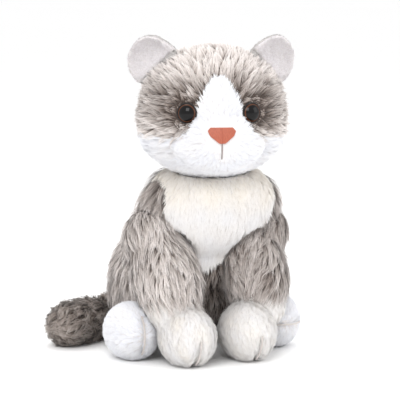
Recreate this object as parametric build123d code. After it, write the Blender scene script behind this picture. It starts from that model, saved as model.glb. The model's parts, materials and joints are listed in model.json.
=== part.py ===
from build123d import *
from math import atan2, cos, degrees, hypot, radians, sin
import os

os.makedirs("parts", exist_ok=True)

# A sitting plush cat, in millimetres. It faces -Y and its own left side is +X. The origin is
# the middle of the flat seat that it rests on, below the middle of its hips.

# Fabrics and clearances
skin = 3.0              # plush fabric: the knitted backing and the dense foot of the pile
slack = 0.3             # room between a fabric and the stuffing or bag inside it
seam_gap = 0.8          # room between two bodies that bend on one another at a seam
thread = 0.9            # height that an embroidery or closing thread stands above the fabric
thread_width = 1.2
far = 400.0             # size of the cutting blocks, past every side of the toy

# Hips, waist and chest: three rounded forms that run into one another
hip_radii = (63.0, 59.0, 62.0)
seat_sink = 8.0              # how far the filling is pressed flat under the seat
chest_radii = (63.0, 45.0, 50.0)
chest_from_hips = (12.0, -44.0, 70.0)
waist_radii = (62.0, 52.0, 50.0)
neck_seam_below_top = 26.0   # from the chest's rounded top down to the neck seam
seat_panel_height = 12.0
hip_centre = (0.0, 0.0, hip_radii[2] - seat_sink)
chest_centre = tuple(h + c for h, c in zip(hip_centre, chest_from_hips))
waist_centre = tuple((h + c) / 2 for h, c in zip(hip_centre, chest_centre))
neck_seam_height = chest_centre[2] + chest_radii[2] - neck_seam_below_top

# Pellet bag, low in the hips
bag_radii = (33.0, 31.0, 24.0)
bag_below_hips = 20.0
bag_cloth = 0.8
bag_centre = (hip_centre[0], hip_centre[1], hip_centre[2] - bag_below_hips)

# Bib and belly panels. The bib is an outline seen from the front, from the chest's centre.
bib_side = [(-47, 50), (-49, 22), (-55, 0), (-54, -17), (-19, -48)]
bib_outline = bib_side + [(-4, -41), (22, -24), (38, -7), (46, 12), (46, 50)]
belly_half_width = 30.0
belly_below_chest = 12.0
panel_seam_from_chest = 12.0
panel_seam_y = chest_centre[1] + panel_seam_from_chest

# Neck plug, on which the head turns and nods
neck_from_chest = (-3.0, -7.0)
neck_stand = 1.0             # height of the plug's shoulder over the neck seam
neck_ball_radius = 31.0
neck_spigot_radius = 14.0
neck_spigot_depth = 26.0
head_turn = -17.5            # the head's turn at rest, towards the toy's right
neck_x = chest_centre[0] + neck_from_chest[0]
neck_y = chest_centre[1] + neck_from_chest[1]
neck_centre = (neck_x, neck_y, neck_seam_height + neck_stand)

# Head, in its own frame: origin at the neck plug's centre, looking along -Y
skull_radii = (63.0, 57.0, 59.5)
skull_forward = 15.0
skull_lift = 7.0             # from the neck plug's centre up to the skull's underside
skull_centre = (0.0, -skull_forward, skull_radii[2] + skull_lift)
muzzle_radii = (36.0, 26.5, 26.5)
muzzle_sunk = 13.0           # how far the muzzle's centre lies inside the skull's front
muzzle_drop = 23.5
muzzle_centre = (0.0, skull_centre[1] - skull_radii[1] + muzzle_sunk, skull_centre[2] - muzzle_drop)
crown_seam_y = skull_centre[1] + 9.0
middle_seam_x = 0.5          # the seam between left and right runs just beside the middle
cheek_seam_z = skull_centre[2] - 20.5
blaze_foot = -12.5           # height of the blaze's lower end, from the skull's centre
blaze_outline = [(-24, blaze_foot), (24, blaze_foot), (18, 4), (11, 22), (4, 30), (-4, 30), (-11, 22), (-18, 4)]
muzzle_outline = [(-24, blaze_foot), (24, blaze_foot), (38, -24), (30, -52), (-30, -52), (-38, -24)]

# Eyes: a clear dome on a dark back with a post, held inside by a press-on washer
eye_from_skull = (27.5, 1.0)
eye_back_radius = 9.0
eye_back_thickness = 1.2
eye_sink = 1.0               # depth to which the eye is drawn into the fabric
dome_rim = 0.8               # dark rim left around the dome
dome_height = 4.4
post_radius = 2.4
post_length = 13.0
post_clearance = 0.1
washer_radius = 8.0
washer_thickness = 1.6
washer_behind_skin = 1.1     # room for the skin's curve in front of the flat washer
dome_radius = eye_back_radius - dome_rim
washer_depth = skin + slack + washer_behind_skin

# Nose pad, as an outline from the muzzle's centre, and the mouth line below it
nose_side = [(-12, 10.5), (-9.5, 13.5), (9.5, 13.5), (12, 10.5)]
nose_outline = nose_side + [(10, 6.5), (2.5, 0.2), (-2.5, 0.2), (-10, 6.5)]
nose_height = 1.9
nose_corner = 1.1
mouth_length = 13.0

# Ears: round flaps, each on a straight rolled seam across the head's shoulder
ear_angle = 47.0             # from straight up, round to the side
ear_facing = 35.0            # each ear's own turn, outwards from the front
ear_y = skull_centre[1] - 2.0
ear_half_width = 22.0
ear_height = 34.0
ear_back_thickness = 2.6
ear_lining_thickness = 2.4
ear_roll_radius = 3.4
ear_lining_start = ear_roll_radius + 0.6

# Front legs: shoulder ball, upper limb in a long-pile sleeve, and a short-pile paw
shoulder_radius = 25.0
shoulder_forward = 6.0
shoulder_spread = 52.0       # to each side of the middle between the hips and the chest
shoulder_below_seam = 20.0
leg_lift = 20.0              # how far a front leg lifts, in degrees
lift_steps = 3               # places along the lift where its room is cut
shoulder_middle_x = (hip_centre[0] + chest_centre[0]) / 2
shoulder_z = neck_seam_height - shoulder_below_seam - shoulder_radius
shoulder_yz = (chest_centre[1] - shoulder_forward, shoulder_z)
paw_radii = (23.5, 30.0, 26.0)
paw_sink = 1.5               # how far the paw is pressed flat on the floor
paw_gap = 9.0                # between the two paws
paw_middle_x = -7.0
paw_forward = 52.0           # from the shoulder
paw_spread = paw_radii[0] + paw_gap / 2 + 0.5
paw_yz = (shoulder_yz[0] - paw_forward, paw_radii[2] - paw_sink)
limb_radii = (29.0, 27.0)
limb_share = 0.42            # how far down from shoulder to paw the limb is thickest
limb_overlap = 4.0
hem_below_middle = 15.0      # from the limb's thickest place down to the sleeve's hem
toe_line_height = 26.0

# Hind feet: a rounded foot on a ball that sits in the hip
foot_radii = (23.5, 30.0, 25.0)
foot_sink = 1.0
heel_radius = 20.0
heel_inside_hip = 5.0
heel_y = -28.0
foot_from_heel = (10.5, -29.0)
foot_line_length = 34.0
foot_z = foot_radii[2] - foot_sink
heel_centre = (hip_radii[0] - heel_inside_hip, heel_y, heel_radius + 2.0)
foot_centre = (heel_centre[0] + foot_from_heel[0], heel_y + foot_from_heel[1], foot_z)

# Tail: two stuffed lengths that lie on the floor along the toy's right side
tail_radius = 19.0
tail_root_inside_hip = 9.0
tail_root_x = -14.0
tail_middle_y = 37.0
tail_tip_run = (-38.0, -22.0)
tail_joint_radius = 17.0
tail_joint_bare = 8.0        # bare length each side of the middle joint
tail_root = (tail_root_x, hip_radii[1] - tail_root_inside_hip)
tail_middle = (-hip_radii[0], tail_middle_y)
tail_end = (tail_middle[0] + tail_tip_run[0], tail_middle[1] + tail_tip_run[1])

# Back of the hips: hand-closed seam and care label
stitch_count = 8
stitch_pitch = 5.0
stitch_length = 5.0
first_stitch_from_middle = 6.0
label_size = (1.0, 26.0, 18.0)
label_x = 12.0
label_inside_hip = 9.0
label_below_middle = 14.0
first_stitch_z = hip_centre[2] + first_stitch_from_middle
label_corner = (label_x, hip_radii[1] - label_inside_hip, hip_centre[2] - label_below_middle)


def block(low, high):
    """A box from one corner to the other."""
    size = [h - l for l, h in zip(low, high)]
    middle = [(h + l) / 2 for l, h in zip(low, high)]
    return Pos(*middle) * Box(*size)


def ellipsoid(centre, radii, grow=0.0):
    return Pos(*centre) * scale(Sphere(1), by=tuple(r + grow for r in radii))


def above(z):
    return block((-far, -far, z), (far, far, far))


def front_prism(outline, centre, y_back):
    """An outline in x and z about a centre, carried forward from y_back."""
    corners = [(centre[0] + x, y_back, centre[2] + z) for x, z in outline]
    return extrude(make_face(Polyline(*corners, close=True)), amount=far, dir=(0, -1, 0))


def save(name, shape, at=Pos(0, 0, 0)):
    piece = at * shape
    piece.label = name
    export_step(piece, "parts/" + name + ".step")


# Front legs. side is -1 for the toy's right and 1 for its left.
def shoulder_at(side):
    return Vector(shoulder_middle_x + side * shoulder_spread, *shoulder_yz)


def paw_at(side):
    return Vector(paw_middle_x + side * paw_spread, *paw_yz)


def limb_at(side):
    return shoulder_at(side) + (paw_at(side) - shoulder_at(side)) * limb_share


def limb_form(side, grow):
    run = paw_at(side) - shoulder_at(side)
    lean = degrees(atan2(-run.Y, -run.Z))
    half_length = hypot(run.Y, run.Z) / 2 + limb_overlap
    return Pos(limb_at(side)) * Rot(-lean, 0, 0) * ellipsoid((0, 0, 0), limb_radii + (half_length,), grow)


def leg_form(side, grow):
    ball = Pos(shoulder_at(side)) * Sphere(shoulder_radius + grow)
    paw = ellipsoid(paw_at(side), paw_radii, grow)
    return (ball + limb_form(side, grow) + paw) & above(-grow)


def lifted(side, angle, shape):
    """A leg's shape turned forwards and up about its shoulder."""
    shoulder = shoulder_at(side)
    return Pos(shoulder) * Rot(-angle, 0, 0) * Pos(-shoulder) * shape


def leg_room(side, grow):
    """Everything that a front leg passes through on its way up."""
    room = leg_form(side, grow)
    for step in range(1, lift_steps):
        room = room + lifted(side, leg_lift * step / (lift_steps - 1), limb_form(side, grow))
    return room


# Hind feet, each hollowed where the front leg presses into it
def foot_form(side, grow):
    foot = ellipsoid((side * foot_centre[0],) + foot_centre[1:], foot_radii, grow)
    heel = Pos(side * heel_centre[0], heel_centre[1], heel_centre[2]) * Sphere(heel_radius + grow)
    return ((foot + heel) & above(-grow)) - leg_room(side, seam_gap - grow)


# Tail. Each length is built along its own line, tail_radius above the floor.
def tail_frame(start, end):
    line = Vector(end[0] - start[0], end[1] - start[1], 0)
    return Plane(origin=(start[0], start[1], tail_radius), z_dir=line), line.length


def tail_base_form(grow):
    frame, length = tail_frame(tail_root, tail_middle)
    tube_length = length - tail_joint_bare
    tube = Pos(0, 0, tube_length / 2) * Cylinder(tail_radius + grow, tube_length)
    socket = Pos(0, 0, length) * Sphere(tail_joint_radius + seam_gap)
    return frame.location * (Sphere(tail_radius + grow) + tube - socket)


def tail_tip_form(grow):
    frame, length = tail_frame(tail_middle, tail_end)
    tube_length = length - tail_joint_bare + grow
    tube = Pos(0, 0, length - tube_length / 2) * Cylinder(tail_radius + grow, tube_length)
    ball = Sphere(tail_joint_radius + grow)
    end = Pos(0, 0, length) * Sphere(tail_radius + grow)
    return frame.location * (ball + tube + end)


# Hips and chest, with the neck's well and a pocket for each piece that is sewn on
def torso_form(grow):
    hips = ellipsoid(hip_centre, hip_radii, grow)
    chest = ellipsoid(chest_centre, chest_radii, grow)
    slab = block((-far, -far, -grow), (far, far, neck_seam_height + grow))
    waist = ellipsoid(waist_centre, waist_radii, grow)
    return (hips + waist + chest) & slab


well_depth = neck_spigot_depth + seam_gap
neck_well = Pos(0, 0, -well_depth / 2) * Cylinder(neck_spigot_radius + seam_gap, well_depth + far / 100)
pockets = [Pos(*neck_centre) * neck_well, tail_base_form(seam_gap)]
for side in (-1, 1):
    pockets.append(leg_room(side, seam_gap))
    pockets.append(foot_form(side, seam_gap))

torso_skin = torso_form(0) - torso_form(-skin)
torso_filling = torso_form(-skin - slack) - ellipsoid(bag_centre, bag_radii, slack)
for pocket in pockets:
    torso_skin = torso_skin - pocket
    torso_filling = torso_filling - pocket

seat_cut = block((-far, -far, -far), (far, far, seat_panel_height))
bib_cut = front_prism(bib_outline, chest_centre, panel_seam_y)
belly_top = chest_centre[2] - belly_below_chest
belly_cut = block((-belly_half_width, -far, 0), (belly_half_width, panel_seam_y, belly_top))
left_half = block((chest_centre[0], -far, -far), (far, far, far))
flanks = torso_skin - seat_cut - bib_cut - belly_cut

save("torso_stuffing", torso_filling)
save("seat_panel", torso_skin & seat_cut)
save("chest_bib", (torso_skin - seat_cut) & bib_cut)
save("belly_panel", ((torso_skin - seat_cut) - bib_cut) & belly_cut)
save("flank_left", flanks & left_half)
save("flank_right", flanks - left_half)
save("pellet_bag", ellipsoid(bag_centre, bag_radii) - ellipsoid(bag_centre, bag_radii, -bag_cloth))
save("pellets", ellipsoid(bag_centre, bag_radii, -bag_cloth - slack))

stitch_shell = ellipsoid(hip_centre, hip_radii, thread) - ellipsoid(hip_centre, hip_radii, slack / 3)
stitch_shell = stitch_shell & block((-far, hip_centre[1], 0), (far, far, far))
stitches = []
for row in range(stitch_count):
    z = first_stitch_z + row * stitch_pitch
    stitches.append(stitch_shell & (Pos(0, far / 4, z) * Box(stitch_length, far / 2, thread_width)))
save("closing_stitches", Compound(children=[s.solids()[0] for s in stitches]))

label_far_corner = [c + s for c, s in zip(label_corner, label_size)]
save("care_label", block(label_corner, label_far_corner) - ellipsoid(hip_centre, hip_radii, slack / 3))

# Neck plug
ball = Sphere(neck_ball_radius) & above(0)
spigot = Pos(0, 0, -neck_spigot_depth / 2) * Cylinder(neck_spigot_radius, neck_spigot_depth)
save("neck_stuffing", ball + spigot, Pos(*neck_centre))

# Front legs
for side, name in ((-1, "right"), (1, "left")):
    leg_skin = leg_form(side, 0) - leg_form(side, -skin)
    hem_height = limb_at(side).Z - hem_below_middle
    save("sleeve_" + name, leg_skin & above(hem_height))
    save("paw_skin_" + name, leg_skin - above(hem_height))
    save("front_leg_stuffing_" + name, leg_form(side, -skin - slack))
    paw = paw_at(side)
    line_shell = ellipsoid(paw, paw_radii, thread) - ellipsoid(paw, paw_radii, slack / 3)
    line_edges = (paw.X - thread_width / 2, paw.X + thread_width / 2)
    toe_line = block((line_edges[0], -far, skin), (line_edges[1], paw.Y, toe_line_height))
    save("toe_stitch_" + name, line_shell & toe_line)

# Hind feet. The seam across the toe runs upright on the right foot and level on the left.
for side, name in ((-1, "right"), (1, "left")):
    save("foot_skin_" + name, foot_form(side, 0) - foot_form(side, -skin))
    save("foot_stuffing_" + name, foot_form(side, -skin - slack))
    foot_at = (side * foot_centre[0],) + foot_centre[1:]
    line_shell = ellipsoid(foot_at, foot_radii, thread) - ellipsoid(foot_at, foot_radii, slack / 3)
    line_size = (thread_width, far, foot_line_length) if side < 0 else (foot_line_length, far, thread_width)
    toe_line = Pos(foot_at[0], foot_at[1] - far / 2, foot_at[2]) * Box(*line_size)
    save("foot_stitch_" + name, line_shell & toe_line)

# Tail
save("tail_base_skin", tail_base_form(0) - tail_base_form(-skin))
save("tail_base_stuffing", tail_base_form(-skin - slack))
save("tail_tip_skin", tail_tip_form(0) - tail_tip_form(-skin))
save("tail_tip_stuffing", tail_tip_form(-skin - slack))


# Head, built in its own frame and then set on the neck
def head_form(grow):
    skull = ellipsoid(skull_centre, skull_radii, grow)
    muzzle = ellipsoid(muzzle_centre, muzzle_radii, grow)
    return skull + muzzle - Sphere(neck_ball_radius + seam_gap)


head_at = Pos(*neck_centre) * Rot(0, 0, head_turn)

# The left ear's seam: up is straight out of the head, across runs along the seam
up = Vector(sin(radians(ear_angle)), 0, cos(radians(ear_angle)))
sideways = Vector(cos(radians(ear_angle)), 0, -sin(radians(ear_angle)))
across = sideways * cos(radians(ear_facing)) + Vector(0, 1, 0) * sin(radians(ear_facing))
skull_x = skull_radii[0] * sin(radians(ear_angle))
skull_z = skull_radii[2] * cos(radians(ear_angle))
ear_base = Vector(skull_centre[0] + skull_x, ear_y, skull_centre[2] + skull_z)
ear_frame = Plane(origin=ear_base, x_dir=across, z_dir=across.cross(up))
half = ear_half_width
ear_edge = Spline(
    (half, 0), (half * 0.98, ear_height * 0.45), (half * 0.55, ear_height * 0.9), (0, ear_height),
    (-half * 0.55, ear_height * 0.9), (-half * 0.98, ear_height * 0.45), (-half, 0),
)
ear_outline = make_face(ear_edge + Line((-half, 0), (half, 0)))
roll = Rot(0, 90, 0) * Cylinder(ear_roll_radius, 2 * half - 4)
ear_groove = Rot(0, 90, 0) * Cylinder(ear_roll_radius + seam_gap, 2 * half + 2)
ear_back = extrude(ear_outline, amount=-ear_back_thickness) + roll
ear_lining = Pos(0, 0, slack / 3) * extrude(ear_outline, amount=ear_lining_thickness)
ear_lining = ear_lining & block((-far, ear_lining_start, 0), (far, far, far))

# The left eye's place: its frame's z axis stands straight out of the skull
eye_x, eye_rise = eye_from_skull
flat_share = 1 - (eye_x / skull_radii[0]) ** 2 - (eye_rise / skull_radii[2]) ** 2
eye_y = skull_centre[1] - skull_radii[1] * flat_share ** 0.5
eye_out = Vector(
    eye_x / skull_radii[0] ** 2,
    (eye_y - skull_centre[1]) / skull_radii[1] ** 2,
    eye_rise / skull_radii[2] ** 2,
)
eye_frame = Plane(origin=(eye_x, eye_y, skull_centre[2] + eye_rise), x_dir=(1, 0, 0), z_dir=eye_out)


def disc(radius, low, high):
    return Pos(0, 0, (low + high) / 2) * Cylinder(radius, high - low)


dome_sphere_radius = (dome_radius ** 2 + dome_height ** 2) / (2 * dome_height)
dome_floor = eye_back_thickness - eye_sink
dome = Pos(0, 0, dome_floor + dome_height - dome_sphere_radius) * Sphere(dome_sphere_radius)
dome = dome & above(dome_floor)
eye_back = disc(eye_back_radius, -eye_sink, dome_floor) + disc(post_radius, -eye_sink - post_length, -eye_sink)
washer_back = -washer_depth - washer_thickness
washer = disc(washer_radius, washer_back, -washer_depth) - disc(post_radius + post_clearance, -far, 0)
eye_room = disc(eye_back_radius + slack, -eye_sink, far / 10)
eye_room = eye_room + disc(post_radius + slack, -eye_sink - post_length - slack, 0)
washer_room = disc(washer_radius + slack, washer_back - slack, 0)

skin_cuts = []
filling_cuts = []
for flip in (lambda shape: shape, lambda shape: mirror(shape, Plane.YZ)):
    skin_cuts.append(flip(ear_frame.location * ear_groove))
    skin_cuts.append(flip(eye_frame.location * eye_room))
    filling_cuts.append(flip(eye_frame.location * washer_room))

head_skin = head_form(0) - head_form(-skin)
head_filling = head_form(-skin - slack)
for cut in skin_cuts:
    head_skin = head_skin - cut
    head_filling = head_filling - cut
for cut in filling_cuts:
    head_filling = head_filling - cut

front_half = block((-far, -far, -far), (far, crown_seam_y, far))
blaze_cut = front_prism(blaze_outline, skull_centre, crown_seam_y)
muzzle_cut = front_prism(muzzle_outline, skull_centre, crown_seam_y)

save("head_stuffing", head_filling, head_at)
save("head_back", head_skin - front_half, head_at)
save("face_blaze", (head_skin & front_half) & blaze_cut, head_at)
save("muzzle_panel", (head_skin & front_half) & muzzle_cut, head_at)
for side, low_x, high_x in (("left", middle_seam_x, far), ("right", -far, middle_seam_x)):
    brow_side = block((low_x, -far, cheek_seam_z), (high_x, crown_seam_y, far))
    cheek_side = block((low_x, -far, -far), (high_x, crown_seam_y, cheek_seam_z))
    save("brow_" + side, (head_skin & brow_side) - blaze_cut - muzzle_cut, head_at)
    save("cheek_" + side, (head_skin & cheek_side) - muzzle_cut, head_at)


def on_muzzle(outline, height, corner=0.0):
    """A pad of one height that follows the muzzle's front, with an outline about its centre."""
    corners = [(x, muzzle_centre[1], muzzle_centre[2] + z) for x, z in outline]
    face = make_face(Polyline(*corners, close=True))
    if corner:
        face = fillet(face.vertices(), corner)
    shell = ellipsoid(muzzle_centre, muzzle_radii, height) - ellipsoid(muzzle_centre, muzzle_radii, slack / 3)
    return shell & extrude(face, amount=far, dir=(0, -1, 0))


nose_low = min(z for x, z in nose_outline)
mouth_top = nose_low - slack
mouth_low = mouth_top - mouth_length
mouth_x = thread_width / 2
mouth_outline = [(-mouth_x, mouth_low), (mouth_x, mouth_low), (mouth_x, mouth_top), (-mouth_x, mouth_top)]
save("nose_pad", on_muzzle(nose_outline, nose_height, nose_corner), head_at)
save("mouth_stitch", on_muzzle(mouth_outline, thread), head_at)

for side, flip in (("left", lambda shape: shape), ("right", lambda shape: mirror(shape, Plane.YZ))):
    save("ear_back_" + side, flip(ear_frame.location * ear_back), head_at)
    save("ear_lining_" + side, flip(ear_frame.location * ear_lining), head_at)
    save("eye_dome_" + side, flip(eye_frame.location * dome), head_at)
    save("eye_post_" + side, flip(eye_frame.location * eye_back), head_at)
    save("eye_washer_" + side, flip(eye_frame.location * washer), head_at)
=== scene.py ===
import json
import math

import bpy
import numpy as np
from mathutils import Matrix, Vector
from mathutils.bvhtree import BVHTree
from mathutils.kdtree import KDTree


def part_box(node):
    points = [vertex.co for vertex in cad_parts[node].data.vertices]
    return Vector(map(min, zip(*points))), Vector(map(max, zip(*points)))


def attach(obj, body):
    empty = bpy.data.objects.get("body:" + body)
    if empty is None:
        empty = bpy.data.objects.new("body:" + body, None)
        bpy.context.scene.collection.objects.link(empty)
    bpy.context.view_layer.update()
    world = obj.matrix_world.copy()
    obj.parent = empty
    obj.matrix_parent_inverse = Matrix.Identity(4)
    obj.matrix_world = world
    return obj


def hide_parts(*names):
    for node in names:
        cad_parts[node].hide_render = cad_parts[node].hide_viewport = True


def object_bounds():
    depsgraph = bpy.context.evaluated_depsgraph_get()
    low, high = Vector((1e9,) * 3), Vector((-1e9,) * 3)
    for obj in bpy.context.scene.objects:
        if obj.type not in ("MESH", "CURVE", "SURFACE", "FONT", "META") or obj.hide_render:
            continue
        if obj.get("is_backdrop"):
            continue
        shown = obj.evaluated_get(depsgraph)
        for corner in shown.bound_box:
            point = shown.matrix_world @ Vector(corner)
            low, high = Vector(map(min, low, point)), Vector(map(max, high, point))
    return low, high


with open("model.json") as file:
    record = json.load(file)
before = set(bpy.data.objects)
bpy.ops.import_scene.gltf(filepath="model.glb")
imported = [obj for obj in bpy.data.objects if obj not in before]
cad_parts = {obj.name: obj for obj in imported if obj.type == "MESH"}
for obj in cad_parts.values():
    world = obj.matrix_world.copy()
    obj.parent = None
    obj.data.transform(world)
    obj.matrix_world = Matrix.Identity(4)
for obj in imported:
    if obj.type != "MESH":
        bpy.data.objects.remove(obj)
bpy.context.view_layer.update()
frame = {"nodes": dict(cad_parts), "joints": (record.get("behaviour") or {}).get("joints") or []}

joints = {joint["name"]: joint for joint in frame["joints"]}


# Camera, floor and lights. The toy sits on a plain white floor in a bright, even studio light:
# one large soft box from the upper left and a weaker one from the right.
look_at = Vector((0.0095, -0.0282, 0.132))
camera_turn = math.radians(-24)
camera_rise = math.radians(7)
camera_distance = 1.5
towards_camera = Vector((
    math.sin(camera_turn) * math.cos(camera_rise),
    -math.cos(camera_turn) * math.cos(camera_rise),
    math.sin(camera_rise),
))
bpy.ops.object.camera_add(location=look_at + towards_camera * camera_distance)
camera = bpy.context.object
camera.rotation_euler = (-towards_camera).to_track_quat("-Z", "Y").to_euler()
camera.data.sensor_width = 36
camera.data.lens = 150
bpy.context.scene.camera = camera
bpy.context.scene.view_settings.view_transform = "Standard"

floor_reach = 60
bpy.ops.mesh.primitive_circle_add(radius=floor_reach, vertices=96, fill_type="NGON")
floor = bpy.context.object
floor.name = "floor"
floor_paint = bpy.data.materials.new("floor_paint")
floor_paint.use_nodes = True
floor_shader = floor_paint.node_tree.nodes["Principled BSDF"]
floor_shader.inputs["Base Color"].default_value = (1, 1, 1, 1)
floor_shader.inputs["Roughness"].default_value = 0.9
floor_shader.inputs["Specular IOR Level"].default_value = 0.1
floor.data.materials.append(floor_paint)
floor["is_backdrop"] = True

for name, place, size, power in (
    ("soft_box_key", (-0.95, -1.25, 1.35), 1.0, 15.0),
    ("soft_box_fill", (1.3, -1.0, 0.8), 1.2, 7.0),
    ("soft_box_top", (0.1, 0.5, 1.6), 1.2, 9.0),
):
    bpy.ops.object.light_add(type="AREA", location=place)
    soft_box = bpy.context.object
    soft_box.name = name
    soft_box.data.shape = "SQUARE"
    soft_box.data.size = size
    soft_box.data.energy = power
    soft_box.rotation_euler = (look_at - Vector(place)).to_track_quat("-Z", "Y").to_euler()

studio = bpy.data.worlds.new("studio")
studio.use_nodes = True
studio.node_tree.nodes["Background"].inputs["Color"].default_value = (1, 1, 1, 1)
studio.node_tree.nodes["Background"].inputs["Strength"].default_value = 1.0
bpy.context.scene.world = studio


# Torso. A pear-shaped cushion of polyester fibre sewn from long grey plush flanks, a white bib,
# a darker belly and seat. The pile is brushed downwards and shows dark roots between its locks.
# The chest rises past the neck seam and is hollowed to fit close under the head.
torso_cell = 0.0025
collar_middle = Vector((0.012, -0.044, 0.124))
collar_radii = Vector((0.063, 0.045, 0.050))
collar_overlap = 0.003
neck_seam = 0.148
neck_plug_room = 0.033
collar_room = 0.0025
chin_fill = 0.012
chin_fill_height = 0.156
chin_fill_spread = 0.022
chin_fill_back = -0.055
neck_place = np.array(joints["neck_turn"]["pos_m"])
head_side = np.array(joints["head_nod"]["axis"])
head_back_way = np.array((-head_side[1], head_side[0], 0.0))
skull_and_muzzle = (((0.015, 0.0665), (0.063, 0.057, 0.0595)), ((0.059, 0.043), (0.036, 0.0265, 0.0265)))
grey_fibre = 0.00062
white_fibre = 0.00036


def dye(red, green, blue):
    """A dye given in parts of 255, as the linear colour that light works with."""
    parts = [c / 255 for c in (red, green, blue)]
    return tuple(c / 12.92 if c < 0.04045 else ((c + 0.055) / 1.055) ** 2.4 for c in parts) + (1.0,)


def unit(vectors):
    """Each row made one long."""
    return vectors / np.maximum(np.linalg.norm(vectors, axis=1, keepdims=True), 1e-9)


def flat_on(vectors, normals):
    """Each direction laid down on the cloth that has that normal."""
    return unit(vectors - (vectors * normals).sum(1, keepdims=True) * normals)


def drift(points, size, seed):
    """A slow change from -1 to 1 from place to place, for patches of tone and for swirls in the pile."""
    waves = np.random.default_rng(seed)
    total = np.zeros(len(points))
    for _ in range(7):
        way = unit(waves.normal(size=(1, 3)))[0] * waves.uniform(0.7, 1.6) * 2 * math.pi / size
        total += np.sin(points @ way + waves.uniform(0, 2 * math.pi))
    return total / 3.6


def stuffed_form(name, nodes, cell, rounds=6, more=()):
    """The closed cushion that sewn panels and their filling make together."""
    bpy.ops.object.select_all(action="DESELECT")
    for part in more:
        part.select_set(True)
    for node in nodes:
        panel = bpy.data.objects.new(name, frame["nodes"][node].data.copy())
        bpy.context.scene.collection.objects.link(panel)
        panel.select_set(True)
        bpy.context.view_layer.objects.active = panel
    bpy.ops.object.join()
    form = bpy.context.object
    form.name = name
    form.data.materials.clear()
    bpy.ops.object.mode_set(mode="EDIT")
    bpy.ops.mesh.select_all(action="SELECT")
    bpy.ops.mesh.remove_doubles(threshold=0.000001)
    bpy.ops.object.mode_set(mode="OBJECT")
    form.data.remesh_voxel_size = cell
    bpy.ops.object.voxel_remesh()
    easing = form.modifiers.new("easing", "SMOOTH")
    easing.factor = 0.5
    easing.iterations = rounds
    bpy.ops.object.modifier_apply(modifier="easing")
    bpy.ops.object.shade_smooth()
    return form


def points_of(form):
    """A form's points as rows."""
    points = np.zeros(len(form.data.vertices) * 3)
    form.data.vertices.foreach_get("co", points)
    return points.reshape(-1, 3)


def move_points(form, points):
    """Puts a form's points back after they were pushed about."""
    form.data.vertices.foreach_set("co", points.astype(np.float32).ravel())
    form.data.update()


def cloth_of(form, panels, finishes, drawn=None):
    """A form's faces as triangles with the panel that each belongs to, and each panel's own backing.
    The faces are shared out first and drawn into their last shape after."""
    mesh = form.data
    trees = []
    for panel in panels:
        source = frame["nodes"][panel].data
        trees.append(BVHTree.FromPolygons(
            [v.co for v in source.vertices], [p.vertices for p in source.polygons]))
    owner = np.zeros(len(mesh.polygons), int)
    for i, face in enumerate(mesh.polygons):
        owner[i] = min(range(len(trees)), key=lambda k: trees[k].find_nearest(face.center)[3])
    backings = sorted(set(finishes.values()), key=lambda m: m.name)
    for backing in backings:
        mesh.materials.append(backing)
    slots = [backings.index(finishes[p]) for p in panels]
    mesh.polygons.foreach_set("material_index", np.array(slots, np.int32)[owner])
    if drawn is not None:
        move_points(form, drawn)
    mesh.calc_loop_triangles()
    ids = np.zeros(len(mesh.loop_triangles) * 3, np.int32)
    mesh.loop_triangles.foreach_get("vertices", ids)
    ids = ids.reshape(-1, 3)
    faces = np.zeros(len(mesh.loop_triangles), np.int32)
    mesh.loop_triangles.foreach_get("polygon_index", faces)
    normals = np.zeros(len(mesh.vertices) * 3)
    mesh.vertex_normals.foreach_get("vector", normals)
    corners = points_of(form)[ids]
    across = np.cross(corners[:, 1] - corners[:, 0], corners[:, 2] - corners[:, 0])
    return {
        "corners": corners,
        "normals": normals.reshape(-1, 3)[ids],
        "area": np.linalg.norm(across, axis=1) / 2,
        "owner": np.array(panels)[owner[faces]],
        "tree": BVHTree.FromPolygons([v.co for v in mesh.vertices], [p.vertices for p in mesh.polygons]),
    }


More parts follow.
